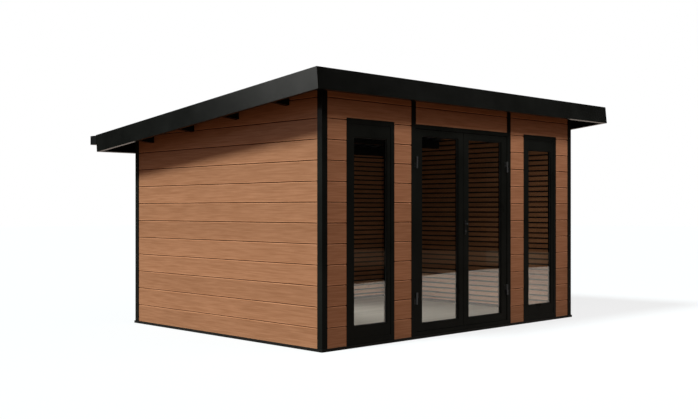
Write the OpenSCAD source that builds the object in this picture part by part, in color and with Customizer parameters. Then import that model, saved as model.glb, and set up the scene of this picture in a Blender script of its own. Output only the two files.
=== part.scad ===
// Garden shed with a mono-pitch roof, a glazed double door and two tall side windows.
// Millimetres. Origin: centre of the footprint, at ground level. +X is to the right
// seen from the door side, +Y runs from the door to the back wall, +Z is up.

/* [Body] */
// Width over the corner posts
body_w = 4038; // [3600:10:4600]
// Depth over the corner posts
body_d = 3132; // [2600:10:3600]
// Width of a square corner post
post_w = 65; // [50:1:80]
// How far the boards lie behind the corner post faces
clad_set = 8; // [4:1:16]
// Rounding of a post's outer edges
post_round = 3; // [1:0.5:6]

/* [Cladding] */
// Height of one wall board
board_pitch = 190; // [120:1:240]
// Height of the first joint between boards
first_joint = 210; // [80:1:260]
// Width of the V joint between two boards
joint_w = 8; // [4:1:14]
// Depth of the V joint between two boards
joint_d = 5; // [2:0.5:8]

/* [Lining] */
// Thickness of the slatted lining
lining_t = 16; // [12:1:24]
// Distance from one lining slat to the next
slat_pitch = 63.3; // [45:0.1:95]
// Gap between two lining slats
slat_gap = 12; // [6:1:18]
// Depth of the gap between two lining slats
slat_depth = 9; // [4:1:11]

/* [Base and floor] */
// Height of the base rails
base_h = 25; // [20:1:60]
// How far the base rails stand out past the corner posts
base_out = 8; // [4:1:25]
// Width of the ledge that the floor deck rests on
base_ledge = 34; // [20:1:60]
// Width of a floor joist
joist_w = 50; // [38:1:75]
// Distance between joist centres
joist_pitch = 400; // [300:10:600]
// Thickness of the floor deck
floor_t = 22; // [16:1:28]

/* [Roof] */
// Fall of the roof towards the back, in degrees
roof_fall = 5.8; // [3:0.1:8]
// Height of the front fascia's bottom edge
front_edge_z = 2315; // [2300:1:2500]
// Roof overhang in front of the corner posts
over_front = 294; // [150:1:400]
// Roof overhang behind the corner posts
over_back = 299; // [150:1:400]
// Roof overhang at each side
over_side = 316; // [150:1:400]
// Height of the fascia
fascia_h = 193; // [175:1:230]
// Thickness of the fascia's folded sheet
fascia_t = 3; // [2:0.5:5]
// Width of the fascia's top and bottom folds
fascia_fold = 42; // [25:1:60]
// Slope distance from the front post faces to the first purlin
purlin_first = 462; // [200:1:520]
// Slope distance from one purlin to the next
purlin_pitch = 770; // [500:1:780]
// Width of a purlin
purlin_w = 45; // [38:1:60]
// Height of a purlin
purlin_h = 112; // [90:1:120]
// Height of a purlin's underside above the fascia's bottom edge
purlin_lift = 17; // [6:1:24]
// How much a purlin's underside rises from the wall to the fascia
purlin_rise = 30; // [10:1:50]
// Gap between a purlin and the sides of its notch in the wall
notch_gap = 1; // [0.5:0.5:4]
// Thickness of the roof sheet
sheet_t = 1.5; // [1:0.5:3]
// Height of a rib of the roof sheet
rib_h = 32; // [20:1:36]
// Distance between the ribs of the roof sheet
rib_pitch = 207; // [150:1:260]
// Width of a rib at its foot
rib_foot = 64; // [50:1:90]
// Width of a rib at its top
rib_top = 28; // [15:1:45]
// Gap between the roof sheet and the fascia
sheet_gap = 2; // [1:0.5:6]

/* [Gutter] */
// Depth of the box gutter from back to front
gutter_d = 124; // [100:1:160]
// Height of the box gutter
gutter_h = 100; // [80:1:110]
// How far the gutter's top lies below the fascia's top edge
gutter_drop = 6; // [5:1:30]
// Gap between the gutter's top edge and the fascia
gutter_gap = 1.5; // [1:0.5:6]
// Thickness of the gutter's sheet
gutter_t = 2; // [1.5:0.5:4]
// Width of the gutter's folded front lip
gutter_lip = 14; // [8:1:22]
// Number of gutter straps
strap_n = 6; // [3:1:9]
// Width of a gutter strap
strap_w = 25; // [16:1:40]
// Thickness of a gutter strap
strap_t = 3; // [2:0.5:5]

/* [Door] */
// Clear width between the two door posts
door_bay_w = 1506; // [1400:2:1700]
// Height of the top of the door and window frames
frame_top_z = 2129; // [2050:1:2200]
// How far door posts and window frames stand out from the boards
frame_out = 4; // [2:0.5:12]
// Width of a door post
door_post_w = 64; // [40:1:70]
// Height of the head over the door leaves
door_head_h = 42; // [36:1:70]
// Height of the top of the door sill
sill_z = 66; // [62:1:90]
// Width of the stop lip behind the door leaves
stop_w = 18; // [12:1:30]
// Thickness of the stop lip
stop_t = 8; // [6:0.5:12]
// Gap round and behind each closed leaf
leaf_gap = 5; // [5:0.5:8]
// Gap between the two closed leaves
meeting_gap = 6; // [6:0.5:10]
// How much the back of a meeting edge is bevelled
meeting_bevel = 4; // [3:0.5:8]
// How far the leaves lie behind the door post faces
leaf_set = 6; // [2:0.5:8]
// Width of a leaf's stile at the hinges
hinge_stile_w = 97; // [70:1:110]
// Width of a leaf's stile at the meeting edge
meeting_stile_w = 85; // [60:1:100]
// Height of a leaf's top rail
top_rail_h = 67; // [55:1:100]
// Height of a leaf's bottom rail
bottom_rail_h = 77; // [60:1:140]
// How far the door glass lies behind the leaf's face
door_glass_set = 16; // [12:1:22]
// Width of the glazing bead
bead_w = 4; // [3:1:10]
// How far a glazing bead lies behind the frame's face
bead_set = 6; // [3:0.5:8]

/* [Hinges and lock] */
// Height of the upper hinge's centre
hinge_high_z = 1751; // [1600:1:1900]
// Height of the lower hinge's centre
hinge_low_z = 400; // [250:1:500]
// Length of a hinge barrel
hinge_len = 115; // [80:1:150]
// Radius of a hinge barrel
barrel_r = 7; // [6:0.5:7]
// Radius of a hinge pin
pin_r = 4; // [3:0.5:4.5]
// Clearance between a hinge pin and its bore
pin_clear = 0.05; // [0.02:0.01:0.1]
// Gap between the two halves of a hinge
knuckle_gap = 0.4; // [0.3:0.1:1]
// How far a hinge pin's axis lies in front of the door posts
hinge_out = 8; // [8:0.5:12]
// How far a hinge pin's axis lies inside the door bay
hinge_in = 8; // [7:0.5:12]
// Width of a hinge plate
hinge_plate_w = 30; // [20:1:40]
// Thickness of a hinge plate
hinge_plate_t = 3; // [2:0.5:4]
// Height of the centre of the lock plate
lock_z = 1093; // [950:1:1200]
// Height of the lock plate
lock_h = 150; // [120:1:220]
// Width of the lock plate
lock_w = 30; // [26:1:44]
// Thickness of the lock plate
lock_t = 6; // [4:0.5:10]
// Distance from the leaf's meeting edge to the middle of the lock plate
lock_in = 24; // [20:1:34]
// Distance between the knob and the lock cylinder
lock_spread = 76; // [60:1:92]
// Radius of the knob
knob_r = 12; // [8:0.5:14]
// How far the knob stands out from its plate
knob_out = 28; // [22:1:40]
// Height of the knob's round head
knob_head = 14; // [10:1:18]
// Radius of the lock cylinder's ring
lock_ring_r = 10; // [8:0.5:12]

/* [Windows] */
// Width over a window frame
window_w = 640; // [500:1:700]
// Face width of a window frame
window_frame_w = 50; // [40:1:70]
// Width of a sash stile
sash_stile_w = 51; // [35:1:70]
// Height of a sash's top and bottom rails
sash_rail_h = 125; // [60:1:150]
// Thickness of a sash
sash_t = 44; // [36:1:50]
// How far a sash lies behind its frame's face
sash_set = 4; // [2:0.5:8]
// Gap between a sash and the frame at its sides and top
sash_gap = 3; // [2:0.5:5]
// Width of the frame's lip behind the sash
sash_lip = 16; // [10:1:24]
// How far the window glass lies behind the sash's face
window_glass_set = 13; // [11:1:20]

/* [Glass] */
// Thickness of a pane
glass_t = 8; // [4:1:8]
// How deep a pane sits in its frame
glass_bite = 12; // [8:1:18]
// Gap between a pane's edge and the bottom of its groove
glass_gap = 2; // [1:0.5:4]

/* [Hidden] */
$fn = 48;

METAL = "#17181a";
METAL_LIGHT = "#3a3c3e";
BOARD = "#9a6645";
SLAT = "#6d4630";
TIMBER = "#b9a88c";
STEEL = "#b4b6b8";
PANE = "#5a6a70";

// Faces of the body
face_x = body_w / 2;
face_y = body_d / 2;
wall_t = post_w - clad_set;
inner_x = face_x - post_w;
inner_y = face_y - post_w;
floor_z = base_h + floor_t;
// Height that is above every wall top, before the roof's slope cuts it
over_all_z = front_edge_z + fascia_h;

// Roof, in its own frame: X across, Y down the slope from the front edge, Z out of the slope
roof_w = body_w + 2 * over_side;
roof_len = (body_d + over_front + over_back) / cos(roof_fall);
seat_z = purlin_lift + purlin_h;
// Inner face of the back lining and start of the first purlin, both down the slope
back_s = (over_front + body_d - post_w - lining_t) / cos(roof_fall);
purlin_s = over_front / cos(roof_fall) + purlin_first;
purlin_n = floor((back_s - purlin_w - notch_gap - purlin_s) / purlin_pitch) + 1;

// Gutter, upright behind the leaning back fascia
back_edge_y = face_y + over_back;
back_edge_z = front_edge_z - roof_len * sin(roof_fall);
gutter_top_z = back_edge_z + fascia_h * cos(roof_fall) - gutter_drop;
gutter_z = gutter_top_z - gutter_h;
gutter_y = back_edge_y + (gutter_top_z - back_edge_z) * tan(roof_fall) + gutter_gap;

// Front openings
frame_y = -face_y + clad_set - frame_out;
frame_depth = frame_out + wall_t;
door_half = door_bay_w / 2;
door_post_x = door_half + door_post_w / 2;
bay_in = door_half + door_post_w;
bay_out = face_x - post_w;
window_x = (bay_in + bay_out) / 2;
panel_w = (bay_out - bay_in - window_w) / 2;
door_head_z = frame_top_z - door_head_h;

// Door leaves, each drawn from its hinge edge (X = 0) to its meeting edge (X = leaf_w)
leaf_w = door_half - leaf_gap - meeting_gap / 2;
leaf_z = sill_z + leaf_gap;
leaf_h = door_head_z - leaf_gap - leaf_z;
leaf_y = frame_y + leaf_set;
leaf_t = frame_depth - leaf_set - leaf_gap - stop_t;
leaf_edge = door_half - leaf_gap;
hinge_x = door_half - hinge_in;
hinge_y = frame_y - hinge_out;
half_len = (hinge_len - knuckle_gap) / 2;

// Window frames and sashes
window_h = frame_top_z - base_h;
sash_w = window_w - 2 * window_frame_w - 2 * sash_gap;
sash_h = window_h - 2 * window_frame_w - sash_gap;
sash_z = base_h + window_frame_w;
sash_side = sash_stile_w - sash_gap;
sash_y = frame_y + sash_set;

far = 3 * (body_w + body_d);

// ---------- helpers ----------

// Places children drawn in the roof's own frame
module in_roof() {
    translate([0, -face_y - over_front, front_edge_z])
        rotate([-roof_fall, 0, 0])
            children();
}

// Cuts children off at the underside of the roof sheet
module under_roof() {
    difference() {
        children();
        in_roof() translate([-far / 2, -far / 2, seat_z]) cube([far, far, far]);
    }
}

// Draws children, a run along +X whose face looks along -Y, on one side of the building
module facing_left(x, y) { translate([x, y, 0]) rotate([0, 0, -90]) children(); }
module facing_right(x, y) { translate([x, y, 0]) rotate([0, 0, 90]) children(); }
module facing_back(x, y) { translate([x, y, 0]) rotate([0, 0, 180]) children(); }

// Extrudes a profile drawn as [depth, height] along +X
module along_x(length) {
    rotate([90, 0, 90]) linear_extrude(length) children();
}

// Extrudes a profile drawn as [across, height] along +Y
module along_y(length) {
    translate([0, length, 0]) rotate([90, 0, 0]) linear_extrude(length) children();
}

// Heights of the joints of a pattern that lie between two heights
function joints_between(first, pitch, margin, z0, z1) =
    [for (k = [0 : floor((z1 - first) / pitch)])
        let (z = first + k * pitch)
        if (z > z0 + margin && z < z1 - margin) z];

// Profile of a boarded wall: V joints on the face, flat behind
function board_profile(z0, z1) = concat(
    [[wall_t, z1], [wall_t, z0], [0, z0]],
    [for (z = joints_between(first_joint, board_pitch, joint_w, z0, z1))
        each [[0, z - joint_w / 2], [joint_d, z], [0, z + joint_w / 2]]],
    [[0, z1]]);

// Profile of the lining: square gaps between slats, flat behind
function slat_profile(z0, z1) = concat(
    [[lining_t, z1], [lining_t, z0], [0, z0]],
    [for (z = joints_between(z0 + slat_pitch, slat_pitch, slat_gap, z0, z1))
        each [[0, z - slat_gap / 2], [slat_depth, z - slat_gap / 2],
              [slat_depth, z + slat_gap / 2], [0, z + slat_gap / 2]]],
    [[0, z1]]);

module boards(length, z0, z1) {
    color(BOARD) along_x(length) polygon(board_profile(z0, z1));
}

module slats(length) {
    color(SLAT) along_x(length) polygon(slat_profile(floor_z, over_all_z));
}

// ---------- base and floor ----------

module base_frame() {
    rail_x = face_x + base_out;
    rail_y = face_y + base_out;
    hole_x = inner_x - base_ledge;
    hole_y = inner_y - base_ledge;
    joist_n = floor((hole_x - joist_w) / joist_pitch);
    color(METAL) {
        difference() {
            translate([-rail_x, -rail_y, 0]) cube([2 * rail_x, 2 * rail_y, base_h]);
            translate([-hole_x, -hole_y, -1]) cube([2 * hole_x, 2 * hole_y, base_h + 2]);
        }
        for (k = [-joist_n : joist_n])
            translate([k * joist_pitch - joist_w / 2, -hole_y - 1, 0])
                cube([joist_w, 2 * hole_y + 2, base_h]);
    }
}

module floor_deck() {
    color(TIMBER)
        translate([-inner_x, -inner_y, base_h])
            cube([2 * inner_x, 2 * inner_y, floor_t]);
}

// ---------- posts ----------

// A corner post with its outer corner at the origin, rounded there, running to +X and +Y
module corner_post() {
    color(METAL)
        linear_extrude(over_all_z)
            union() {
                translate([post_round, 0]) square([post_w - post_round, post_w]);
                translate([0, post_round]) square([post_w, post_w - post_round]);
                translate([post_round, post_round]) circle(r = post_round);
            }
}

module post_at(side_x, side_y) {
    under_roof()
        translate([side_x * face_x, side_y * face_y, base_h])
            mirror([side_x > 0 ? 1 : 0, 0, 0])
                mirror([0, side_y > 0 ? 1 : 0, 0])
                    corner_post();
}

module front_left_post() { post_at(-1, -1); }
module front_right_post() { post_at(1, -1); }
module back_left_post() { post_at(-1, 1); }
module back_right_post() { post_at(1, 1); }

// A door post with its stop lip, drawn for the right side of the door
module door_post() {
    under_roof()
        color(METAL)
            translate([door_half, frame_y, base_h]) {
                linear_extrude(over_all_z) square([door_post_w, frame_depth]);
                translate([-stop_w, frame_depth - stop_t, 0])
                    cube([stop_w + 1, stop_t, door_head_z - base_h]);
            }
}

module right_door_post() { door_post(); }
module left_door_post() { mirror([1, 0, 0]) door_post(); }

// ---------- side and back walls ----------

// The purlins with their rising tails, grown by a gap where they are used to cut notches
module purlin_rows(half, gap) {
    in_roof()
        for (k = [0 : purlin_n - 1])
            translate([0, purlin_s + k * purlin_pitch - gap, 0])
                along_y(purlin_w + 2 * gap)
                    polygon([[-half, purlin_lift + purlin_rise], [-face_x, purlin_lift],
                             [face_x, purlin_lift], [half, purlin_lift + purlin_rise],
                             [half, seat_z + gap], [-half, seat_z + gap]]);
}

module notched() {
    difference() {
        children();
        purlin_rows(roof_w / 2, notch_gap);
    }
}

module left_wall() {
    notched() under_roof()
        facing_left(-face_x + clad_set, inner_y) boards(2 * inner_y, base_h, over_all_z);
}

module right_wall() {
    notched() under_roof()
        facing_right(face_x - clad_set, -inner_y) boards(2 * inner_y, base_h, over_all_z);
}

module back_wall() {
    under_roof()
        facing_back(inner_x, face_y - clad_set) boards(2 * inner_x, base_h, over_all_z);
}

// ---------- front wall, in strips beside and over the openings ----------

module front_strip(x, length, z0) {
    under_roof()
        translate([x, -face_y + clad_set, 0]) boards(length, z0, over_all_z);
}

module front_panel_left_outer() { front_strip(-bay_out, panel_w, base_h); }
module front_panel_left_inner() { front_strip(-bay_in - panel_w, panel_w, base_h); }
module front_panel_left_top() { front_strip(-window_x - window_w / 2, window_w, frame_top_z); }
module front_panel_right_outer() { front_strip(bay_out - panel_w, panel_w, base_h); }
module front_panel_right_inner() { front_strip(bay_in, panel_w, base_h); }
module front_panel_right_top() { front_strip(window_x - window_w / 2, window_w, frame_top_z); }
module front_panel_door_top() { front_strip(-door_half, door_bay_w, frame_top_z); }

// ---------- lining ----------

side_lining_len = 2 * inner_y - lining_t;

module left_lining() {
    notched() under_roof()
        facing_right(-inner_x + lining_t, -inner_y) slats(side_lining_len);
}

module right_lining() {
    notched() under_roof()
        facing_left(inner_x - lining_t, -inner_y + side_lining_len) slats(side_lining_len);
}

module back_lining() {
    under_roof()
        translate([-inner_x, inner_y - lining_t, 0]) slats(2 * inner_x);
}

// ---------- roof ----------

module purlins() {
    color(METAL) purlin_rows(roof_w / 2 - fascia_t, 0);
}

// The sheet's line from left to right, raised by z
function sheet_line(half, n, z) = concat(
    [[-half, z]],
    [for (k = [0 : n - 1])
        let (x = (k - (n - 1) / 2) * rib_pitch)
        each [[x - rib_foot / 2, z], [x - rib_top / 2, z + rib_h],
              [x + rib_top / 2, z + rib_h], [x + rib_foot / 2, z]]],
    [[half, z]]);

function reversed(list) = [for (k = [len(list) - 1 : -1 : 0]) list[k]];

module roof_sheet() {
    half = roof_w / 2 - fascia_t - sheet_gap;
    rib_n = floor((2 * half - rib_foot) / rib_pitch);
    start = fascia_t + sheet_gap;
    color(METAL_LIGHT)
        in_roof()
            translate([0, start, seat_z])
                along_y(roof_len - 2 * start)
                    polygon(concat(sheet_line(half, rib_n, 0),
                                   reversed(sheet_line(half, rib_n, sheet_t))));
}

// One folded fascia along +X, its face at Y = 0 looking along -Y, mitred at both ends
module fascia_run(length) {
    color(METAL)
        intersection() {
            translate([-length / 2, 0, 0])
                along_x(length)
                    polygon([[0, 0], [fascia_fold, 0], [fascia_fold, fascia_t],
                             [fascia_t, fascia_t], [fascia_t, fascia_h - fascia_t],
                             [fascia_fold, fascia_h - fascia_t], [fascia_fold, fascia_h],
                             [0, fascia_h]]);
            linear_extrude(fascia_h)
                polygon([[-length / 2, 0], [length / 2, 0],
                         [length / 2 - fascia_fold, fascia_fold],
                         [-length / 2 + fascia_fold, fascia_fold]]);
        }
}

module front_fascia() { in_roof() fascia_run(roof_w); }
module back_fascia() { in_roof() facing_back(0, roof_len) fascia_run(roof_w); }
module left_fascia() { in_roof() facing_left(-roof_w / 2, roof_len / 2) fascia_run(roof_len); }
module right_fascia() { in_roof() facing_right(roof_w / 2, roof_len / 2) fascia_run(roof_len); }

// ---------- gutter ----------

module gutter() {
    color(METAL_LIGHT)
        translate([-roof_w / 2, gutter_y, gutter_z]) {
            along_x(roof_w)
                polygon([[0, 0], [gutter_d, 0], [gutter_d, gutter_h],
                         [gutter_d - gutter_lip, gutter_h],
                         [gutter_d - gutter_lip, gutter_h - gutter_t],
                         [gutter_d - gutter_t, gutter_h - gutter_t],
                         [gutter_d - gutter_t, gutter_t], [gutter_t, gutter_t],
                         [gutter_t, gutter_h], [0, gutter_h]]);
            for (x = [0, roof_w - gutter_t])
                translate([x, 0, 0]) cube([gutter_t, gutter_d, gutter_h]);
        }
}

// Y of the back fascia's leaning face at a height
function back_face_y(z) = back_edge_y + (z - back_edge_z) * tan(roof_fall);

// Straps over the gutter, each with a wedge between the gutter's back and the fascia
module gutter_straps() {
    strap_pitch = (roof_w - 2 * over_side) / (strap_n - 1);
    top = gutter_top_z + strap_t;
    color(METAL_LIGHT)
        for (k = [0 : strap_n - 1])
            translate([(k - (strap_n - 1) / 2) * strap_pitch - strap_w / 2, 0, 0])
                along_x(strap_w)
                    polygon([[back_face_y(gutter_z), gutter_z], [gutter_y, gutter_z],
                             [gutter_y, gutter_top_z], [gutter_y + gutter_d, gutter_top_z],
                             [gutter_y + gutter_d, top], [back_face_y(top), top]]);
}

// ---------- door frame ----------

module door_head() {
    color(METAL)
        translate([-door_half, frame_y, door_head_z]) {
            cube([door_bay_w, frame_depth, door_head_h]);
            translate([stop_w, frame_depth - stop_t, -stop_w])
                cube([door_bay_w - 2 * stop_w, stop_t, stop_w + 1]);
        }
}

module door_sill() {
    color(METAL)
        translate([-door_half, frame_y, base_h]) {
            cube([door_bay_w, frame_depth - stop_t, sill_z - base_h]);
            translate([stop_w, frame_depth - stop_t - 1, 0])
                cube([door_bay_w - 2 * stop_w, stop_t + 1, sill_z + leaf_gap + stop_w - base_h]);
        }
}

// ---------- glazed frames ----------

// A frame with its lower left front corner at the origin: stiles, rails, a stepped bead
// and a groove all round that holds the pane
module glazed_frame(w, h, t, stile, end_stile, top_rail, bottom_rail, glass_set) {
    open_w = w - stile - end_stile;
    open_h = h - top_rail - bottom_rail;
    grown = glass_bite + glass_gap;
    difference() {
        cube([w, t, h]);
        translate([stile, -1, bottom_rail]) cube([open_w, t + 2, open_h]);
        translate([stile - bead_w, -1, bottom_rail - bead_w])
            cube([open_w + 2 * bead_w, bead_set + 1, open_h + 2 * bead_w]);
        translate([stile - grown, glass_set, bottom_rail - grown])
            cube([open_w + 2 * grown, glass_t, open_h + 2 * grown]);
    }
}

// The pane that fits the groove of a glazed frame
module pane(w, h, stile, end_stile, top_rail, bottom_rail, glass_set) {
    color(PANE, 0.5)
        translate([stile - glass_bite, glass_set, bottom_rail - glass_bite])
            cube([w - stile - end_stile + 2 * glass_bite, glass_t,
                  h - top_rail - bottom_rail + 2 * glass_bite]);
}

// ---------- door leaves, drawn for the left side and mirrored ----------

module at_left_leaf() { translate([-leaf_edge, leaf_y, leaf_z]) children(); }

module leaf_frame() {
    color(METAL)
        at_left_leaf()
            difference() {
                glazed_frame(leaf_w, leaf_h, leaf_t, hinge_stile_w, meeting_stile_w,
                             top_rail_h, bottom_rail_h, door_glass_set);
                translate([0, 0, -1])
                    linear_extrude(leaf_h + 2)
                        polygon([[leaf_w, 0], [leaf_w + 1, 0], [leaf_w + 1, leaf_t + 1],
                                 [leaf_w - meeting_bevel, leaf_t + 1], [leaf_w - meeting_bevel, leaf_t]]);
            }
}

module leaf_glass() {
    at_left_leaf()
        pane(leaf_w, leaf_h, hinge_stile_w, meeting_stile_w, top_rail_h, bottom_rail_h,
             door_glass_set);
}

module left_leaf_frame() { leaf_frame(); }
module right_leaf_frame() { mirror([1, 0, 0]) leaf_frame(); }
module left_leaf_glass() { leaf_glass(); }
module right_leaf_glass() { mirror([1, 0, 0]) leaf_glass(); }

// ---------- hinges, drawn at the left door post and mirrored ----------

module at_hinges() {
    for (z = [hinge_low_z, hinge_high_z])
        translate([-hinge_x, hinge_y, z - hinge_len / 2])
            children();
}

// Lower half with the pin, its plate flat on the door post
module post_half() {
    color(STEEL) {
        cylinder(r = barrel_r, h = half_len);
        cylinder(r = pin_r, h = hinge_len - 6);
        translate([-hinge_plate_w - hinge_in, hinge_out - hinge_plate_t, 0])
            cube([hinge_plate_w + hinge_in, hinge_plate_t, half_len]);
    }
}

// Upper half with its bore over the pin, its plate flat on the leaf
module leaf_half() {
    reach = leaf_y - hinge_y;
    color(STEEL)
        translate([0, 0, half_len + knuckle_gap])
            difference() {
                union() {
                    cylinder(r = barrel_r, h = half_len);
                    cube([barrel_r, reach, half_len]);
                    translate([0, reach - hinge_plate_t, 0])
                        cube([hinge_plate_w + barrel_r, hinge_plate_t, half_len]);
                }
                translate([0, 0, -1]) cylinder(r = pin_r + pin_clear, h = half_len - 4);
            }
}

module frame_hinges() {
    at_hinges() post_half();
    mirror([1, 0, 0]) at_hinges() post_half();
}

module left_leaf_hinges() { at_hinges() leaf_half(); }
module right_leaf_hinges() { mirror([1, 0, 0]) at_hinges() leaf_half(); }

// ---------- lock on the right leaf's meeting stile ----------

module door_lock() {
    end_y = (lock_h - lock_w) / 2;
    color(STEEL)
        translate([meeting_gap / 2 + lock_in, leaf_y, lock_z])
            rotate([90, 0, 0]) {
                linear_extrude(lock_t) {
                    square([lock_w, 2 * end_y], center = true);
                    for (y = [-end_y, end_y]) translate([0, y]) circle(d = lock_w);
                }
                translate([0, lock_spread / 2, lock_t - 1]) {
                    cylinder(r = knob_r * 0.85, h = 4);
                    cylinder(r = knob_r * 0.55, h = knob_out - knob_head + 2);
                }
                translate([0, lock_spread / 2, lock_t + knob_out - knob_head]) knob_head();
                translate([0, -lock_spread / 2, 0]) cylinder(r = lock_ring_r, h = lock_t * 1.7);
            }
}

// The knob's head, flared below and rounded off above
module knob_head() {
    low = knob_head * 0.35;
    top = knob_head * 0.25;
    cylinder(r1 = knob_r * 0.55, r2 = knob_r, h = low);
    translate([0, 0, low]) cylinder(r = knob_r, h = knob_head - low - top);
    translate([0, 0, knob_head - top]) cylinder(r1 = knob_r, r2 = knob_r * 0.75, h = top);
}

// ---------- windows, drawn for the right side and mirrored ----------

module window_frame() {
    open_w = window_w - 2 * window_frame_w;
    open_h = window_h - 2 * window_frame_w;
    color(METAL)
        translate([window_x - window_w / 2, frame_y, base_h])
            difference() {
                cube([window_w, frame_depth, window_h]);
                translate([window_frame_w, -1, window_frame_w])
                    cube([open_w, sash_set + sash_t + 1, open_h]);
                translate([window_frame_w + sash_lip, 0, window_frame_w + sash_lip])
                    cube([open_w - 2 * sash_lip, frame_depth + 1, open_h - 2 * sash_lip]);
            }
}

module window_sash() {
    color(METAL)
        translate([window_x - sash_w / 2, sash_y, sash_z])
            glazed_frame(sash_w, sash_h, sash_t, sash_side, sash_side,
                         sash_rail_h - sash_gap, sash_rail_h, window_glass_set);
}

module window_glass() {
    translate([window_x - sash_w / 2, sash_y, sash_z])
        pane(sash_w, sash_h, sash_side, sash_side, sash_rail_h - sash_gap, sash_rail_h,
             window_glass_set);
}

module right_window_frame() { window_frame(); }
module right_window_sash() { window_sash(); }
module right_window_glass() { window_glass(); }
module left_window_frame() { mirror([1, 0, 0]) window_frame(); }
module left_window_sash() { mirror([1, 0, 0]) window_sash(); }
module left_window_glass() { mirror([1, 0, 0]) window_glass(); }

// ---------- nodes ----------

base_frame();
floor_deck();
front_left_post();
front_right_post();
back_left_post();
back_right_post();
left_door_post();
right_door_post();
left_wall();
right_wall();
back_wall();
front_panel_left_outer();
front_panel_left_inner();
front_panel_left_top();
front_panel_right_outer();
front_panel_right_inner();
front_panel_right_top();
front_panel_door_top();
left_lining();
right_lining();
back_lining();
purlins();
roof_sheet();
front_fascia();
back_fascia();
left_fascia();
right_fascia();
gutter();
gutter_straps();
door_head();
door_sill();
frame_hinges();
left_leaf_frame();
left_leaf_glass();
left_leaf_hinges();
right_leaf_frame();
right_leaf_glass();
right_leaf_hinges();
door_lock();
left_window_frame();
left_window_sash();
left_window_glass();
right_window_frame();
right_window_sash();
right_window_glass();
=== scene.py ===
import math

import bmesh
import bpy
from mathutils import Matrix, Vector


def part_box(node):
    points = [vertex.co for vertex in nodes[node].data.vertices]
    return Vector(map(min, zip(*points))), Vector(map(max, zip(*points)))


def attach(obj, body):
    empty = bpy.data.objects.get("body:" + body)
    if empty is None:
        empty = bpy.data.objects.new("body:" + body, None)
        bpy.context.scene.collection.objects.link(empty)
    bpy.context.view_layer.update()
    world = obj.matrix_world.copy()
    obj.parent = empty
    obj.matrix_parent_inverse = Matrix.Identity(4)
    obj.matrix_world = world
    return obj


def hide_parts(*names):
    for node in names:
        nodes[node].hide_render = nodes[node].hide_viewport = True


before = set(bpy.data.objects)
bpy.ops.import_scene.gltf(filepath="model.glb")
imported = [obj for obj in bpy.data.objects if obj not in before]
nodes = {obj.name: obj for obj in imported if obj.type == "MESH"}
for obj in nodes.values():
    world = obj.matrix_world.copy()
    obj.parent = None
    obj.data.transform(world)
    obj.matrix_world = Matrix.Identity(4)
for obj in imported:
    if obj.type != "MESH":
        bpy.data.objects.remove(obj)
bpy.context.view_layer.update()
scene = bpy.context.scene

# ---------- dimensions, in metres ----------

# Wall boards
BOARD_PITCH = 0.190
FIRST_JOINT = 0.210
BOARD_T = 0.020
HALF_JOINT = 0.0038
UPPER_CHAMFER = 0.0050
LOWER_CHAMFER = 0.0012
END_CHAMFER = 0.001
THINNEST_BOARD = 0.004
CORE_GAP = 0.0005

# Slatted lining and skirting
SLAT_PITCH = 0.0633
SLAT_GAP = 0.019
SLAT_CHAMFER = 0.0018
BACKING_T = 0.004
BACKING_GAP = 0.0003
SKIRT_H = 0.034
SKIRT_T = 0.012
SKIRT_CHAMFER = 0.004

# Floor
PLANK_W = 0.138
PLANK_GAP = 0.0026
PLANK_EDGE = 0.0012
THINNEST_PLANK = 0.01

# Roof, its purlins and its sheet
ROOF_FALL = math.radians(5.8)
FRONT_EDGE_Z = 2.315
PURLIN_LIFT = 0.017
PURLIN_H = 0.112
PURLIN_FIRST = 0.462
PURLIN_PITCH = 0.770
PURLIN_W = 0.045
PURLIN_N = 4
NOTCH_GAP = 0.001
RIB_PITCH = 0.207
RIB_H = 0.032
RIB_N = 21
SHEET_T = 0.0015
STRAP_N = 6

# Glazing
PANE_T = 0.003
PANE_BITE = 0.012
GASKET_W = 0.0030
GASKET_T = 0.0025
SPACER_EDGE = 0.002
SPACER_SHOWN = 0.001
SPACER_GAP = 0.0001

# Hinges, lock and sill
BARREL_R = 0.007
HINGE_Z = (0.400, 1.751)
HINGE_PLATE_T = 0.003
HINGE_SCREW_X = 0.026
FIXED_SCREW_Z = (-0.044, -0.016)
MOVING_SCREW_Z = (0.016, 0.044)
LOCK_PLATE_T = 0.006
CYLINDER_OUT = 0.7 * LOCK_PLATE_T
CYLINDER_DROP = 0.038
LOCK_SCREW_Z = 0.066
SILL_Z = 0.066
SILL_RIB_N = 4
SILL_RIB_PITCH = 0.011
SILL_RIB_FIRST = 0.008
SILL_RIB_END = 0.004

# Screw heads, as (radius, height)
HINGE_SCREW = (0.0042, 0.0014)
LOCK_SCREW = (0.0038, 0.0012)
STRAP_SCREW = (0.0045, 0.0022)

# Sizes read from the CAD
POST_LO, POST_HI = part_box("front_left_post")
FACE_X, FACE_Y = -POST_LO.x, -POST_LO.y
POST_W = POST_HI.x - POST_LO.x
BASE_H = POST_LO.z
INNER_X, INNER_Y = FACE_X - POST_W, FACE_Y - POST_W
BOARD_X = -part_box("left_wall")[0].x
BOARD_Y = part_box("back_wall")[1].y
WALL_T = BOARD_X - INNER_X
FLOOR_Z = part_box("floor_deck")[1].z
LINING_X = -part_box("left_lining")[1].x
LINING_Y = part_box("back_lining")[0].y
LINING_T = INNER_X - LINING_X
OVER_FRONT = -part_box("front_fascia")[0].y - FACE_Y
HINGE_X = -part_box("left_leaf_hinges")[0].x - BARREL_R
LOCK_FACE_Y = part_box("door_lock")[1].y - LOCK_PLATE_T

# A height above the whole roof: walls and linings are drawn up to it, and cut under the roof
OVER_ALL = 3.0
# How near two heights are taken as one, and the least height that is worth drawing
SLACK = 0.0001
LEAST_H = 0.001

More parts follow.
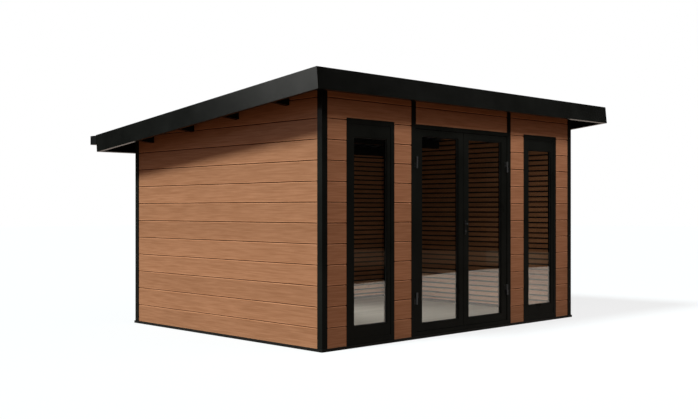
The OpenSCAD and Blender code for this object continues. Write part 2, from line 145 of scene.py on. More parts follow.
# The roof's own frame: Y down the slope from the front edge, Z out of the slope
ROOF = (Matrix.Translation((0, -FACE_Y - OVER_FRONT, FRONT_EDGE_Z))
        @ Matrix.Rotation(-ROOF_FALL, 4, "X"))
ROOF_UP = (ROOF.to_3x3() @ Vector((0, 0, 1))).normalized()
SEAT_Z = PURLIN_LIFT + PURLIN_H
PURLIN_S = [OVER_FRONT / math.cos(ROOF_FALL) + PURLIN_FIRST + k * PURLIN_PITCH
            for k in range(PURLIN_N)]


def on_roof(x, s, z):
    return ROOF @ Vector((x, s, z))


# ---------- materials ----------

WOOD_GLOSS = 0.03


def new_material(name):
    m = bpy.data.materials.new(name)
    m.use_nodes = True
    nt = m.node_tree
    return m, nt, nt.nodes["Principled BSDF"]


def add(nt, kind, **settings):
    """Adds a node. A setting that starts with in_ is the value of an input."""
    n = nt.nodes.new(kind)
    for k, v in settings.items():
        if k.startswith("in_"):
            n.inputs[k[3:]].default_value = v
        else:
            setattr(n, k, v)
    return n


def link(nt, a, b):
    nt.links.new(a, b)


def feed(nt, socket, v):
    """Gives an input a number, a colour or a link."""
    if isinstance(v, tuple):
        socket.default_value = (*v, 1)
    elif isinstance(v, (int, float)):
        socket.default_value = v
    else:
        link(nt, v, socket)


def math_node(nt, op, a, b=None):
    n = add(nt, "ShaderNodeMath", operation=op)
    feed(nt, n.inputs[0], a)
    if b is not None:
        feed(nt, n.inputs[1], b)
    return n.outputs[0]


def plus(nt, a, b):
    return math_node(nt, "ADD", a, b)


def minus(nt, a, b):
    return math_node(nt, "SUBTRACT", a, b)


def times(nt, a, b):
    return math_node(nt, "MULTIPLY", a, b)


def higher(nt, a, b):
    return math_node(nt, "MAXIMUM", a, b)


def mix_color(nt, fac, a, b, blend="MIX"):
    n = add(nt, "ShaderNodeMix", data_type="RGBA", blend_type=blend)
    feed(nt, n.inputs[0], fac)
    feed(nt, n.inputs[6], a)
    feed(nt, n.inputs[7], b)
    return n.outputs[2]


def mix_shader(nt, fac, a, b):
    n = add(nt, "ShaderNodeMixShader")
    link(nt, fac, n.inputs[0])
    link(nt, a, n.inputs[1])
    link(nt, b, n.inputs[2])
    return n.outputs[0]


def ramp(nt, fac, stops):
    """A colour ramp. Each stop is a place and a grey level or a colour."""
    n = add(nt, "ShaderNodeValToRGB")
    e = n.color_ramp.elements
    while len(e) < len(stops):
        e.new(0.5)
    for el, (pos, c) in zip(e, stops):
        el.position = pos
        el.color = (c, c, c, 1) if isinstance(c, (int, float)) else (*c, 1)
    link(nt, fac, n.inputs[0])
    return n.outputs[0]


def noise(nt, at, scale, detail=3.0, rough=0.55):
    n = add(nt, "ShaderNodeTexNoise", in_Scale=scale, in_Detail=detail, in_Roughness=rough)
    link(nt, at, n.inputs["Vector"])
    return n.outputs["Fac"]


def bump(nt, height, distance, strength):
    n = add(nt, "ShaderNodeBump", in_Distance=distance, in_Strength=strength)
    link(nt, height, n.inputs["Height"])
    return n.outputs["Normal"]


def position(nt):
    """Object coordinates, whole and split. The pieces' meshes are drawn in place, so these are
    metres in the shared frame."""
    co = add(nt, "ShaderNodeTexCoord").outputs["Object"]
    s = add(nt, "ShaderNodeSeparateXYZ")
    link(nt, co, s.inputs[0])
    return co, s.outputs


def vector(nt, x, y, z):
    c = add(nt, "ShaderNodeCombineXYZ")
    for socket, v in zip(c.inputs, (x, y, z)):
        feed(nt, socket, v)
    return c.outputs[0]


def grain_material(name, base, dark, light, pitch, first, rough, tint, across="z", shade=0.0,
                   edge=0.0):
    """Boards with a fine brushed grain along them and a small tint of their own each. shade
    darkens a board from its lower edge up, and edge paints a highlight along both its edges."""
    m, nt, b = new_material(name)
    co, (x, y, z) = position(nt)
    if across == "z":
        along, cross, depth = plus(nt, x, y), z, minus(nt, x, y)
    else:
        along, cross, depth = x, y, z
    rise = math_node(nt, "DIVIDE", minus(nt, cross, first), pitch)
    in_board = math_node(nt, "FRACT", rise)
    white = add(nt, "ShaderNodeTexWhiteNoise", noise_dimensions="1D")
    link(nt, math_node(nt, "FLOOR", rise), white.inputs["W"])
    own = white.outputs["Value"]
    shift = times(nt, own, 37.0)

    def grain(along_scale, depth_scale, cross_scale, detail_rough):
        at = vector(nt, plus(nt, times(nt, along, along_scale), shift),
                    times(nt, depth, depth_scale), times(nt, cross, cross_scale))
        return noise(nt, at, 1.0, 3.0, detail_rough)

    streak = grain(0.7, 3.0, 75.0, 0.55)
    fine = grain(5.0, 9.0, 640.0, 0.65)
    cloud = noise(nt, co, 1.3, 2.0)
    c = mix_color(nt, ramp(nt, streak, ((0.34, 0.0), (0.66, 1.0))), dark, light)
    c = mix_color(nt, ramp(nt, fine, ((0.3, 0.0), (0.7, 1.0))), c,
                  mix_color(nt, 1.0, c, (1.24, 1.22, 1.20), "MULTIPLY"))
    c = mix_color(nt, 0.5, base, c)
    level = plus(nt, times(nt, own, tint), 1.0 - tint / 2)
    level = times(nt, level, plus(nt, times(nt, cloud, 0.12), 0.94))
    if shade:
        level = times(nt, level, plus(nt, times(nt, in_board, -shade), 1.0 + shade / 2))
    if edge:
        from_middle = math_node(nt, "ABSOLUTE", minus(nt, in_board, 0.5))
        # A painted highlight: each board is lighter near both of its edges, beside the joints
        painted_edge_highlight = ramp(nt, from_middle, ((0.435, 0.0), (0.475, 1.0)))
        level = times(nt, level, plus(nt, times(nt, painted_edge_highlight, edge), 1.0))
    c = mix_color(nt, 1.0, c, vector(nt, level, level, level), "MULTIPLY")
    link(nt, c, b.inputs["Base Color"])
    link(nt, plus(nt, times(nt, fine, 0.16), rough - 0.08), b.inputs["Roughness"])
    height = plus(nt, times(nt, fine, 0.6), times(nt, streak, 0.4))
    link(nt, bump(nt, height, 0.0012, 0.5), b.inputs["Normal"])
    b.inputs["Specular IOR Level"].default_value = WOOD_GLOSS
    return m


def coated_metal(name, base, rough, gloss=0.15, painted_highlight_color=None, highlight_mask=None):
    """Powder coat: a fine orange-peel bump and a slightly uneven colour and gloss. A mask, if
    given, makes a factor from (nt, x, y) that paints the coat a lighter colour there, as a
    highlight."""
    m, nt, b = new_material(name)
    co, (x, y, _) = position(nt)
    peel = noise(nt, co, 900.0, 2.0)
    patch = noise(nt, co, 3.5, 3.0)
    c = mix_color(nt, ramp(nt, patch, ((0.3, 0.0), (0.75, 1.0))), base,
                  tuple(v * 1.4 + 0.001 for v in base))
    if highlight_mask:
        c = mix_color(nt, highlight_mask(nt, x, y), c, painted_highlight_color)
    link(nt, c, b.inputs["Base Color"])
    link(nt, plus(nt, times(nt, patch, 0.14), rough - 0.07), b.inputs["Roughness"])
    link(nt, bump(nt, peel, 0.0002, 0.35), b.inputs["Normal"])
    b.inputs["Specular IOR Level"].default_value = gloss
    return m


def brushed_steel(name, base, rough):
    m, nt, b = new_material(name)
    _, (x, y, z) = position(nt)
    at = vector(nt, times(nt, x, 900.0), times(nt, y, 900.0), times(nt, z, 14.0))
    lines = noise(nt, at, 1.0, 3.0)
    c = mix_color(nt, lines, tuple(v * 0.8 for v in base), base)
    link(nt, c, b.inputs["Base Color"])
    b.inputs["Metallic"].default_value = 0.95
    link(nt, plus(nt, times(nt, lines, 0.18), rough - 0.09), b.inputs["Roughness"])
    link(nt, bump(nt, lines, 0.0003, 0.3), b.inputs["Normal"])
    return m


def clear_glass(name):
    """A pane that lamps shine through, with the gloss and faint grey tint of real glass."""
    m, nt, b = new_material(name)
    b.inputs["Base Color"].default_value = (0.93, 0.96, 0.95, 1)
    b.inputs["Roughness"].default_value = 0.0
    b.inputs["Transmission Weight"].default_value = 1.0
    b.inputs["IOR"].default_value = 1.52
    clear = add(nt, "ShaderNodeBsdfTransparent", in_Color=(0.9, 0.93, 0.92, 1))
    path = add(nt, "ShaderNodeLightPath")
    seen = b.outputs[0]
    for ray in ("Is Shadow Ray", "Is Diffuse Ray"):
        seen = mix_shader(nt, path.outputs[ray], seen, clear.outputs[0])
    link(nt, seen, nt.nodes["Material Output"].inputs["Surface"])
    return m


def rubber(name):
    m, nt, b = new_material(name)
    co, _ = position(nt)
    n = noise(nt, co, 260.0, 3.0)
    c = mix_color(nt, n, (0.006, 0.006, 0.006), (0.016, 0.016, 0.016))
    link(nt, c, b.inputs["Base Color"])
    b.inputs["Roughness"].default_value = 0.7
    link(nt, bump(nt, n, 0.0003, 0.4), b.inputs["Normal"])
    return m


def on_barrel(nt, x, _):
    """1 within a barrel's radius of a hinge's axis, on either leaf: where the hinges get a painted
    highlight.
    """
    off_axis = math_node(nt, "ABSOLUTE", minus(nt, math_node(nt, "ABSOLUTE", x), HINGE_X))
    return math_node(nt, "LESS_THAN", off_axis, BARREL_R + 0.0004)


def proud_of_plate(nt, _, y):
    """1 on the knob and the cylinder, which stand out from the lock's plate: they get a painted
    highlight.
    """
    return math_node(nt, "LESS_THAN", y, LOCK_FACE_Y - 0.0005)


WALL = grain_material("wall_boards", (0.350, 0.150, 0.074), (0.270, 0.110, 0.051),
                      (0.430, 0.196, 0.104), BOARD_PITCH, FIRST_JOINT, rough=0.40, tint=0.10,
                      shade=0.10, edge=0.45)
LINING = grain_material("lining_slats", (0.27, 0.112, 0.051), (0.20, 0.080, 0.035),
                        (0.34, 0.146, 0.070), SLAT_PITCH, FLOOR_Z, rough=0.55, tint=0.2)
PLANKS = grain_material("floor_planks", (0.46, 0.41, 0.35), (0.37, 0.32, 0.27),
                        (0.55, 0.50, 0.44), PLANK_W, -INNER_Y, rough=0.55, tint=0.24, across="y")
CORE = coated_metal("wall_core", (0.006, 0.005, 0.004), 0.8)
FRAME = coated_metal("frame_coat", (0.0074, 0.0077, 0.0064), 0.30, gloss=0.02)
STEEL_COAT = coated_metal("roof_coat", (0.0056, 0.0056, 0.0048), 0.22, gloss=0.048)
BASE_COAT = coated_metal("base_coat", (0.0080, 0.0078, 0.0070), 0.4, gloss=0.05)
GUTTER_COAT = coated_metal("gutter_coat", (0.0075, 0.0076, 0.0074), 0.32, gloss=0.05)
SHEET_COAT = coated_metal("sheet_coat", (0.014, 0.015, 0.016), 0.40, gloss=0.3)
# The hinge barrels and the lock's knob and cylinder are painted lighter, as a highlight
HINGE = coated_metal("hinge_coat", (0.0085, 0.0086, 0.0082), 0.30, gloss=0.1,
                     painted_highlight_color=(0.072, 0.073, 0.073), highlight_mask=on_barrel)
LOCK = coated_metal("lock_coat", (0.0085, 0.0086, 0.0082), 0.28, gloss=0.1,
                    painted_highlight_color=(0.060, 0.062, 0.062), highlight_mask=proud_of_plate)
SCREW = brushed_steel("screw_steel", (0.10, 0.105, 0.11), 0.4)
SPACER = coated_metal("spacer_bar", (0.020, 0.021, 0.022), 0.4)
GASKET = rubber("gasket_rubber")
GLASS = clear_glass("clear_glass")


# ---------- mesh helpers ----------

def new_piece(name, bm, material, body="shed", stands_for=()):
    bmesh.ops.recalc_face_normals(bm, faces=bm.faces)
    me = bpy.data.meshes.new(name)
    bm.to_mesh(me)
    bm.free()
    me.materials.append(material)
    o = bpy.data.objects.new(name, me)
    scene.collection.objects.link(o)
    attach(o, body)
    if stands_for:
        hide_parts(*stands_for)


def soften(o, width):
    """Rounds the sharp edges of a CAD node."""
    b = o.modifiers.new("edges", "BEVEL")
    b.width = width
    b.segments = 2
    b.limit_method = "ANGLE"
    b.angle_limit = math.radians(35)
    b.harden_normals = False
    b.use_clamp_overlap = True


def prism(bm, outline, origin, axis_a, axis_b, along, length):
    """Adds a prism: an outline of (a, b) points, pushed from the origin along a direction."""
    o, a, b, v = Vector(origin), Vector(axis_a), Vector(axis_b), Vector(along)
    near = [bm.verts.new(o + a * p + b * q) for p, q in outline]
    far = [bm.verts.new(w.co + v * length) for w in near]
    bm.faces.new(near[::-1])
    bm.faces.new(far)
    n = len(outline)
    for i in range(n):
        j = (i + 1) % n
        bm.faces.new((near[i], near[j], far[j], far[i]))


def block(bm, lo, hi):
    w, d, h = Vector(hi) - Vector(lo)
    prism(bm, [(0, 0), (w, 0), (w, d), (0, d)], lo, (1, 0, 0), (0, 1, 0), (0, 0, 1), h)


def bridge(bm, a, b):
    """Adds the faces between two closed loops of as many vertices."""
    n = len(a)
    for i in range(n):
        j = (i + 1) % n
        bm.faces.new((a[i], a[j], b[j], b[i]))


def cut_above(bm, point, normal):
    """Cuts away what lies above a plane and closes the cut."""
    geom = list(bm.verts) + list(bm.edges) + list(bm.faces)
    bmesh.ops.bisect_plane(bm, geom=geom, dist=1e-6, plane_co=point, plane_no=normal,
                           clear_outer=True)
    open_edges = [e for e in bm.edges if e.is_boundary]
    if open_edges:
        bmesh.ops.holes_fill(bm, edges=open_edges, sides=0)


def pour(target, part):
    """Adds one bmesh's geometry to another."""
    me = bpy.data.meshes.new("part")
    part.to_mesh(me)
    target.from_mesh(me)
    bpy.data.meshes.remove(me)


def top_z(y, lift):
    """Height of a plane that lies so far above the roof's bottom edge, at a place in Y."""
    s = (y + FACE_Y + OVER_FRONT) / math.cos(ROOF_FALL)
    return FRONT_EDGE_Z - s * math.sin(ROOF_FALL) + lift / math.cos(ROOF_FALL)


def notches(origin, along, length, high):
    """Where the purlins cross a side wall's board that reaches up to a height: (start, end)
    along the board, with the gap beside each purlin."""
    y0, sign = origin.y, along.y
    y_lo, y_hi = sorted((y0, y0 + sign * length))
    out = []
    for s in PURLIN_S:
        a = on_roof(0, s - NOTCH_GAP, PURLIN_LIFT).y
        b = on_roof(0, s + PURLIN_W + NOTCH_GAP, SEAT_Z).y
        if b > y_lo and a < y_hi and high >= top_z(b, PURLIN_LIFT) - SLACK:
            out.append(tuple(sorted(((a - y0) * sign, (b - y0) * sign))))
    return sorted(out)


def run_of(bm, outline, origin, inward, along, length, notched):
    """One board or slat along a wall: its (depth, height) outline, cut under the roof and,
    on a side wall, cut out round the purlins."""
    origin, inward, along = Vector(origin), Vector(inward), Vector(along)
    low = min(q for _, q in outline)
    high = max(q for _, q in outline)
    lengths = []
    at = 0.0
    for a, b in notches(origin, along, length, high) if notched else ():
        lengths += [(at, a, SEAT_Z), (a, b, PURLIN_LIFT)]
        at = b
    lengths.append((at, length, SEAT_Z))
    for a, b, lift in lengths:
        tops = [top_z((origin + along * t).y, lift) for t in (a, b)]
        if low > max(tops) - LEAST_H:
            continue
        part = bmesh.new()
        prism(part, outline, origin + along * a, inward, (0, 0, 1), along, b - a)
        if high > min(tops):
            cut_above(part, on_roof(0, 0, lift), ROOF_UP)
        if len(part.faces) > 3:
            pour(bm, part)
        part.free()


def board_levels(z0):
    """The boards' (bottom, top) from a height up, split at the joints."""
    marks = [z0]
    k = math.ceil((z0 + THINNEST_BOARD - FIRST_JOINT) / BOARD_PITCH)
    while FIRST_JOINT + k * BOARD_PITCH < OVER_ALL - THINNEST_BOARD:
        marks.append(FIRST_JOINT + k * BOARD_PITCH)
        k += 1
    marks.append(OVER_ALL)
    return list(zip(marks, marks[1:]))


def board_outline(z0, z1, joint_below, joint_above):
    """A board: a broad chamfer on its upper edge, a small one on its lower edge, and open joints."""
    upper, lower, g, e, t = UPPER_CHAMFER, LOWER_CHAMFER, HALF_JOINT, END_CHAMFER, BOARD_T
    if joint_below:
        out = [(t, z0 + g), (lower, z0 + g), (0, z0 + g + lower)]
    else:
        out = [(t, z0), (e, z0), (0, z0 + e)]
    if joint_above:
        return out + [(0, z1 - g - upper), (upper, z1 - g), (t, z1 - g)]
    return out + [(0, z1 - e), (e, z1), (t, z1)]


def sheet_outline(near, far, z0):
    """A plain sheet between two depths, from a height up."""
    return [(near, z0), (far, z0), (far, OVER_ALL), (near, OVER_ALL)]


def boarded(name, origin, inward, along, length, z0, notched=False):
    """A boarded wall or strip: one mesh of boards, and the dark core that they are fixed to."""
    bm = bmesh.new()
    levels = board_levels(z0)
    for i, (a, b) in enumerate(levels):
        outline = board_outline(a, b, i > 0, i < len(levels) - 1)
        run_of(bm, outline, origin, inward, along, length, notched)
    new_piece(name + "_boards", bm, WALL, stands_for=[name])
    bm = bmesh.new()
    run_of(bm, sheet_outline(BOARD_T + CORE_GAP, WALL_T, z0), origin, inward, along, length,
           notched)
    new_piece(name + "_core", bm, CORE)


def slatted(name, origin, inward, along, length, notched=False):
    """A slatted lining, its slats one mesh, on a thin dark backing."""
    bm = bmesh.new()
    t, e = LINING_T - BACKING_T, SLAT_CHAMFER
    z = FLOOR_Z
    while z < OVER_ALL:
        a = z if z == FLOOR_Z else z + SLAT_GAP / 2
        b = z + SLAT_PITCH - SLAT_GAP / 2
        run_of(bm, [(t, a), (e, a), (0, a + e), (0, b - e), (e, b), (t, b)],
               origin, inward, along, length, notched)
        z += SLAT_PITCH
    new_piece(name + "_slats", bm, LINING, stands_for=[name])
    bm = bmesh.new()
    run_of(bm, sheet_outline(t + BACKING_GAP, LINING_T, FLOOR_Z), origin, inward, along, length,
           notched)
    new_piece(name + "_backing", bm, CORE)


def ring(bm, lo, hi, y, width, depth, chamfer=0.0012):
    """A frame of a small section round a rectangle in XZ, its outer edge at lo and hi, from the
    face at y to y + depth. Its inner edges are chamfered."""
    r = min(chamfer, width / 3, abs(depth) / 3)
    s = 1 if depth > 0 else -1
    section = [(0, 0), (width - r, 0), (width, r * s), (width, depth - r * s),
               (width - r, depth), (0, depth)]
    corners = [(lo[0], lo[1], 1, 1), (hi[0], lo[1], -1, 1),
               (hi[0], hi[1], -1, -1), (lo[0], hi[1], 1, -1)]
    loops = [[bm.verts.new((x + u * sx, y + v, z + u * sz)) for u, v in section]
             for x, z, sx, sz in corners]
    for a, b in zip(loops, loops[1:] + loops[:1]):
        bridge(bm, a, b)


def turned(bm, centre, normal, levels, sides):
    """Loops of vertices round an axis, joined in turn. Each level is a radius and a height."""
    n = Vector(normal).normalized()
    ref = Vector((0, 0, 1)) if abs(n.z) < 0.9 else Vector((1, 0, 0))
    u = n.cross(ref).normalized()
    v = n.cross(u).normalized()
    c = Vector(centre)
    loops = [[bm.verts.new(c + n * h + (u * math.cos(t) + v * math.sin(t)) * r)
              for t in (2 * math.pi * k / sides for k in range(sides))]
             for r, h in levels]
    for a, b in zip(loops, loops[1:]):
        bridge(bm, a, b)
    bm.faces.new(loops[-1])
    return loops


def disc(bm, centre, normal, radius, height, sides, dome, socket=False):
    """A small, slightly domed disc on a face, with a sunk socket if asked for."""
    levels = [(radius, 0.0), (radius, height * (1 - dome)),
              (radius * 0.82, height * (1 - dome * 0.3)), (radius * 0.45, height)]
    if socket:
        levels.append((radius * 0.42, height * 0.55))
    loops = turned(bm, centre, normal, levels, sides)
    bm.faces.new(loops[0][::-1])


def screw_head(bm, centre, normal, radius, height):
    disc(bm, centre, normal, radius, height, sides=14, dome=0.5, socket=True)


def hex_head(bm, centre, normal, across, height):
    """A hexagon head on a round washer."""
    disc(bm, centre, normal, across * 0.95, height * 0.3, sides=14, dome=0.4)
    turned(bm, Vector(centre) + normal * height * 0.25, normal,
           [(across * 0.5, 0), (across * 0.5, height * 0.6), (across * 0.42, height * 0.75)], 6)


# ---------- walls ----------

boarded("left_wall", (-BOARD_X, INNER_Y, 0), (1, 0, 0), (0, -1, 0), 2 * INNER_Y, BASE_H, True)
boarded("right_wall", (BOARD_X, -INNER_Y, 0), (-1, 0, 0), (0, 1, 0), 2 * INNER_Y, BASE_H, True)
boarded("back_wall", (INNER_X, BOARD_Y, 0), (0, -1, 0), (-1, 0, 0), 2 * INNER_X, BASE_H)
for name in ("front_panel_left_outer", "front_panel_left_inner", "front_panel_left_top",
             "front_panel_right_outer", "front_panel_right_inner", "front_panel_right_top",
             "front_panel_door_top"):
    lo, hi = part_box(name)
    boarded(name, (lo.x, -BOARD_Y, 0), (0, 1, 0), (1, 0, 0), hi.x - lo.x, lo.z)

SIDE_LINING = LINING_Y + INNER_Y
slatted("left_lining", (-LINING_X, -INNER_Y, 0), (-1, 0, 0), (0, 1, 0), SIDE_LINING, True)
slatted("right_lining", (LINING_X, -INNER_Y, 0), (1, 0, 0), (0, 1, 0), SIDE_LINING, True)
slatted("back_lining", (-INNER_X, LINING_Y, 0), (0, 1, 0), (1, 0, 0), 2 * INNER_X)

# Skirting round the three lined walls
bm = bmesh.new()
skirt = [(0, 0), (SKIRT_T, 0), (SKIRT_T, SKIRT_H - SKIRT_CHAMFER),
         (SKIRT_T - SKIRT_CHAMFER, SKIRT_H), (0, SKIRT_H)]
for sx in (-1, 1):
    prism(bm, skirt, (sx * LINING_X, -INNER_Y, FLOOR_Z), (-sx, 0, 0), (0, 0, 1), (0, 1, 0),
          SIDE_LINING)
prism(bm, skirt, (-LINING_X + SKIRT_T, LINING_Y, FLOOR_Z), (0, -1, 0), (0, 0, 1), (1, 0, 0),
      2 * (LINING_X - SKIRT_T))
new_piece("skirting", bm, FRAME)

# ---------- floor ----------

bm = bmesh.new()
lo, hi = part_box("floor_deck")
y = lo.y
while y < hi.y - THINNEST_PLANK:
    y1 = min(y + PLANK_W, hi.y)
    width, height = y1 - y - PLANK_GAP, hi.z - lo.z
    prism(bm, [(0, 0), (width, 0), (width, height - PLANK_EDGE), (width - PLANK_EDGE, height),
               (PLANK_EDGE, height), (0, height - PLANK_EDGE)],
          (lo.x, y + PLANK_GAP / 2, lo.z), (0, 1, 0), (0, 0, 1), (1, 0, 0), hi.x - lo.x)
    y = y1
new_piece("floor_planks", bm, PLANKS, stands_for=["floor_deck"])

# ---------- CAD nodes that keep their shape: coats and softened edges ----------

# Each coat, the width of its softened edges, and the nodes that have it
COATS = (
    (BASE_COAT, 0.0015, ["base_frame"]),
    (FRAME, 0.0016, ["front_left_post", "front_right_post", "back_left_post", "back_right_post",
                     "left_door_post", "right_door_post", "door_head", "door_sill",
                     "left_leaf_frame", "right_leaf_frame", "left_window_frame",
                     "left_window_sash", "right_window_frame", "right_window_sash"]),
    (STEEL_COAT, 0.0010, ["purlins", "front_fascia", "back_fascia", "left_fascia",
                          "right_fascia"]),
    (SHEET_COAT, 0.0, ["roof_sheet"]),
    (GUTTER_COAT, 0.0006, ["gutter", "gutter_straps"]),
    (HINGE, 0.0006, ["frame_hinges", "left_leaf_hinges", "right_leaf_hinges"]),
    (LOCK, 0.0006, ["door_lock"]),
)
for material, width, names in COATS:
    for n in names:
        o = nodes[n]
        o.data.materials.clear()
        o.data.materials.append(material)
        if width:
            soften(o, width)


# ---------- glazing ----------

def glazing(prefix, body, glass_node):
    """A sealed unit of two panes with its spacer, and the gaskets that hold it."""
    lo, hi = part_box(glass_node)
    bm = bmesh.new()
    for y0, y1 in ((lo.y, lo.y + PANE_T), (hi.y - PANE_T, hi.y)):
        block(bm, (lo.x, y0, lo.z), (hi.x, y1, hi.z))
    new_piece(prefix + "_panes", bm, GLASS, body, [glass_node])
    bm = bmesh.new()
    e = SPACER_EDGE
    ring(bm, (lo.x + e, lo.z + e), (hi.x - e, hi.z - e), lo.y + PANE_T + SPACER_GAP,
         PANE_BITE + SPACER_SHOWN + e, hi.y - lo.y - 2 * (PANE_T + SPACER_GAP), chamfer=0.0004)
    new_piece(prefix + "_spacer", bm, SPACER, body)
    bm = bmesh.new()
    open_lo, open_hi = (lo.x + PANE_BITE, lo.z + PANE_BITE), (hi.x - PANE_BITE, hi.z - PANE_BITE)
    ring(bm, open_lo, open_hi, lo.y, GASKET_W, -GASKET_T)
    ring(bm, open_lo, open_hi, hi.y, GASKET_W, GASKET_T)
    new_piece(prefix + "_gasket", bm, GASKET, body)


for side in ("left", "right"):
    glazing(side + "_leaf_glazing", side + "_leaf", side + "_leaf_glass")
    glazing(side + "_window_glazing", "shed", side + "_window_glass")

# ---------- small parts ----------

OUT = (0, -1, 0)

# Screws in the hinge plates
for side, sx in (("left", -1), ("right", 1)):
    fixed, moving = bmesh.new(), bmesh.new()
    frame_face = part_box("frame_hinges")[1].y - HINGE_PLATE_T
    leaf_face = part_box(side + "_leaf_hinges")[1].y - HINGE_PLATE_T
    for centre in HINGE_Z:
        for dz in FIXED_SCREW_Z:
            screw_head(fixed, (sx * (HINGE_X + HINGE_SCREW_X), frame_face, centre + dz), OUT,
                       *HINGE_SCREW)
        for dz in MOVING_SCREW_Z:
            screw_head(moving, (sx * (HINGE_X - HINGE_SCREW_X), leaf_face, centre + dz), OUT,
                       *HINGE_SCREW)
    new_piece(side + "_frame_hinge_screws", fixed, SCREW)
    new_piece(side + "_leaf_hinge_screws", moving, SCREW, side + "_leaf")

# Face of the lock cylinder with its keyhole, and the screws in the lock's plate
lo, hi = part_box("door_lock")
lock_x, lock_z = (lo.x + hi.x) / 2, (lo.z + hi.z) / 2
bm = bmesh.new()
key_y, key_z = LOCK_FACE_Y - CYLINDER_OUT, lock_z - CYLINDER_DROP
disc(bm, (lock_x, key_y, key_z), OUT, 0.0072, 0.0012, sides=20, dome=0.3)
for dz in (-LOCK_SCREW_Z, LOCK_SCREW_Z):
    screw_head(bm, (lock_x, LOCK_FACE_Y, lock_z + dz), OUT, *LOCK_SCREW)
new_piece("lock_screws", bm, SCREW, "right_leaf")
bm = bmesh.new()
block(bm, (lock_x - 0.0011, key_y - 0.0016, key_z - 0.0042),
      (lock_x + 0.0011, key_y - 0.0010, key_z + 0.0042))
new_piece("keyhole", bm, GASKET, "right_leaf")

# Ribs along the door sill
lo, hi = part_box("door_sill")
bm = bmesh.new()
for k in range(SILL_RIB_N):
    y0 = lo.y + SILL_RIB_FIRST + k * SILL_RIB_PITCH
    prism(bm, [(0, 0), (0.004, 0), (0.0032, 0.0016), (0.0008, 0.0016)],
          (lo.x + SILL_RIB_END, y0, SILL_Z), (0, 1, 0), (0, 0, 1), (1, 0, 0),
          hi.x - lo.x - 2 * SILL_RIB_END)
new_piece("sill_ribs", bm, FRAME)

# Screws through the roof sheet's ribs into the purlins
bm = bmesh.new()
for s in PURLIN_S:
    for k in range(RIB_N):
        x = (k - (RIB_N - 1) / 2) * RIB_PITCH
        hex_head(bm, on_roof(x, s + PURLIN_W / 2, SEAT_Z + RIB_H + SHEET_T), ROOF_UP, 0.009, 0.007)
new_piece("roof_screws", bm, SCREW)

# Screws in the gutter straps
lo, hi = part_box("gutter_straps")
bm = bmesh.new()
for k in range(STRAP_N):
    x = (k - (STRAP_N - 1) / 2) * (2 * FACE_X) / (STRAP_N - 1)
    for y in (hi.y - 0.012, lo.y + 0.045):
        screw_head(bm, (x, y, hi.z), (0, 0, 1), *STRAP_SCREW)
new_piece("strap_screws", bm, SCREW)

# ---------- stage: camera, lights, floor ----------

# The camera's place is measured from the foot of the post that is nearest to it
corner = Vector((-FACE_X, -FACE_Y, 0))
cam_data = bpy.data.cameras.new("camera")
cam = bpy.data.objects.new("camera", cam_data)
scene.collection.objects.link(cam)
cam_data.lens = 48.60
cam_data.sensor_width = 36
cam.location = corner + Vector((-5.716, -6.224, 1.283))
cam.rotation_euler = (math.radians(90), 0, math.radians(-44.2))
scene.camera = cam

# White to the camera, in gloss and through glass, and a dim sky as a light
world = bpy.data.worlds.new("world")
scene.world = world
world.use_nodes = True
nt = world.node_tree
white = nt.nodes["Background"]
white.inputs["Color"].default_value = (1, 1, 1, 1)
white.inputs["Strength"].default_value = 1.0
sky = add(nt, "ShaderNodeBackground", in_Color=(1.0, 0.98, 0.98, 1), in_Strength=0.34)
path = add(nt, "ShaderNodeLightPath")
seen = higher(nt, path.outputs["Is Camera Ray"],
              higher(nt, path.outputs["Is Glossy Ray"], path.outputs["Is Transmission Ray"]))
link(nt, mix_shader(nt, seen, sky.outputs[0], white.outputs[0]),
     nt.nodes["World Output"].inputs["Surface"])


def aim_from(o, towards):
    """Turns a lamp to shine from a direction."""
    o.rotation_euler = Vector(towards).to_track_quat("Z", "Y").to_euler()


sun = bpy.data.lights.new("key", "SUN")
sun.energy = 3.88
sun.angle = math.radians(12)
sun.color = (0.885, 1.05, 1.08)
key = bpy.data.objects.new("key", sun)
scene.collection.objects.link(key)
aim_from(key, (-1.0, 0.06, 1.03))


def softbox(name, at, aim, width, height, radiance, color, spread=180, sheen=False):
    """A soft lamp that gives diffuse light or, as a sheen, gloss alone. The camera, and rays
    through glass, don't see it as a shape."""
    lamp = bpy.data.lights.new(name, "AREA")
    lamp.shape = "RECTANGLE"
    lamp.size, lamp.size_y = width, height
    lamp.energy = radiance * math.pi * width * height
    lamp.color = color
    lamp.spread = math.radians(spread)
    o = bpy.data.objects.new(name, lamp)
    scene.collection.objects.link(o)
    o.location = at
    aim_from(o, Vector(at) - Vector(aim))
    o.visible_camera = False
    o.visible_transmission = False
    o.visible_glossy = sheen
    o.visible_diffuse = not sheen


softbox("side_fill", (-12.3, 8.3, 5.8), (-2.0, -1.4, 2.2), 4.0, 4.4, 9.0, (1.0, 0.99, 0.95),
        sheen=True)
softbox("front_fill", (0.8, -FACE_Y - 1.8, 3.4), (0.8, -FACE_Y, 1.6), 4.6, 0.5, 7.5,
        (0.94, 0.99, 1.02))
softbox("room_fill", (0.7, -FACE_Y + 0.17, 1.16), (0.7, 2.0, 1.16), 2.4, 1.75, 0.64,
        (1.0, 0.98, 0.95))
softbox("floor_light", (0.35, 0.25, 0.85), (0.35, 0.25, 0.0), 1.3, 1.1, 0.54,
        (1.0, 0.985, 0.99), spread=110)
# Low daylight on the foot of the two walls that are seen through the glass
FOOT_COLOR = (0.62, 0.99, 1.55)
softbox("right_foot_light", (-1.85, -0.2, 0.22), (0.0, -0.2, 0.22), 2.4, 0.30, 1.3, FOOT_COLOR,
        spread=5)
softbox("back_foot_light", (0.95, -1.3, 0.14), (0.95, 0.0, 0.14), 1.8, 0.17, 1.2, FOOT_COLOR,
        spread=5)

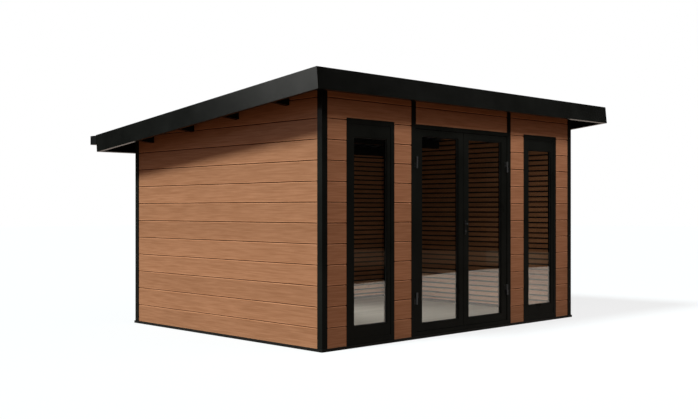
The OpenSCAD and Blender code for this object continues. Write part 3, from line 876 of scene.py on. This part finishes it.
# Pale to the camera and in reflections. To other rays the floor is dark and warm, so that it throws
# little light back up at the shed.
FLOOR_HALF = 60.0
floor_mat = bpy.data.materials.new("stage_floor")
floor_mat.use_nodes = True
nt = floor_mat.node_tree
nt.nodes.remove(nt.nodes["Principled BSDF"])
path = add(nt, "ShaderNodeLightPath")
camera_ray = path.outputs["Is Camera Ray"]
diffuse = add(nt, "ShaderNodeBsdfDiffuse")
link(nt, mix_color(nt, camera_ray, (0.145, 0.078, 0.048), (0.84, 0.83, 0.83)),
     diffuse.inputs["Color"])
glow = add(nt, "ShaderNodeEmission")
link(nt, mix_color(nt, camera_ray, (0.74, 0.62, 0.54), (1.0, 1.0, 1.0)), glow.inputs["Color"])
seen = higher(nt, times(nt, camera_ray, 0.76),
              higher(nt, path.outputs["Is Glossy Ray"], path.outputs["Is Transmission Ray"]))
link(nt, mix_shader(nt, seen, diffuse.outputs[0], glow.outputs[0]),
     nt.nodes["Material Output"].inputs["Surface"])
me = bpy.data.meshes.new("stage_floor")
me.from_pydata([(sx * FLOOR_HALF, sy * FLOOR_HALF, 0)
                for sx, sy in ((-1, -1), (1, -1), (1, 1), (-1, 1))], [], [(0, 1, 2, 3)])
me.materials.append(floor_mat)
floor = bpy.data.objects.new("stage_floor", me)
scene.collection.objects.link(floor)
floor.location.z = -0.001

# Dark cards in front of the shed, with a paler band low down, and beyond its back corner: they are
# seen only in reflections
card_mat, nt, card_shader = new_material("stage_card")
_, (x, y, z) = position(nt)
level = plus(nt, times(nt, z, 0.5), times(nt, x, 0.02))
BAND = (0.25, 0.19, 0.14)
link(nt, ramp(nt, level, ((0.20, 0.01), (0.26, BAND), (0.36, BAND), (0.375, 0.004))),
     card_shader.inputs["Base Color"])
card_shader.inputs["Roughness"].default_value = 1.0
card_shader.inputs["Specular IOR Level"].default_value = 0.0
FRONT_FOOT = [(-6.0, -6.6), (4.2, -6.9), (6.8, -7.52), (8.5, -7.75), (10.0, -7.4), (14.0, -7.2),
              (30.0, -6.5)]
BACK_FOOT = [(-13.0, FACE_Y + 12.0), (4.0, FACE_Y + 12.0)]
for name, foot, height in (("stage_card_front", FRONT_FOOT, 20.0),
                           ("stage_card_back", BACK_FOOT, 14.0)):
    me = bpy.data.meshes.new(name)
    n = len(foot)
    me.from_pydata([(x, y, z) for z in (0.0, height) for x, y in foot], [],
                   [(k, k + 1, n + k + 1, n + k) for k in range(n - 1)])
    me.materials.append(card_mat)
    card = bpy.data.objects.new(name, me)
    scene.collection.objects.link(card)
    card.visible_camera = False
    card.visible_diffuse = False
    card.visible_shadow = False

scene.view_settings.view_transform = "Standard"
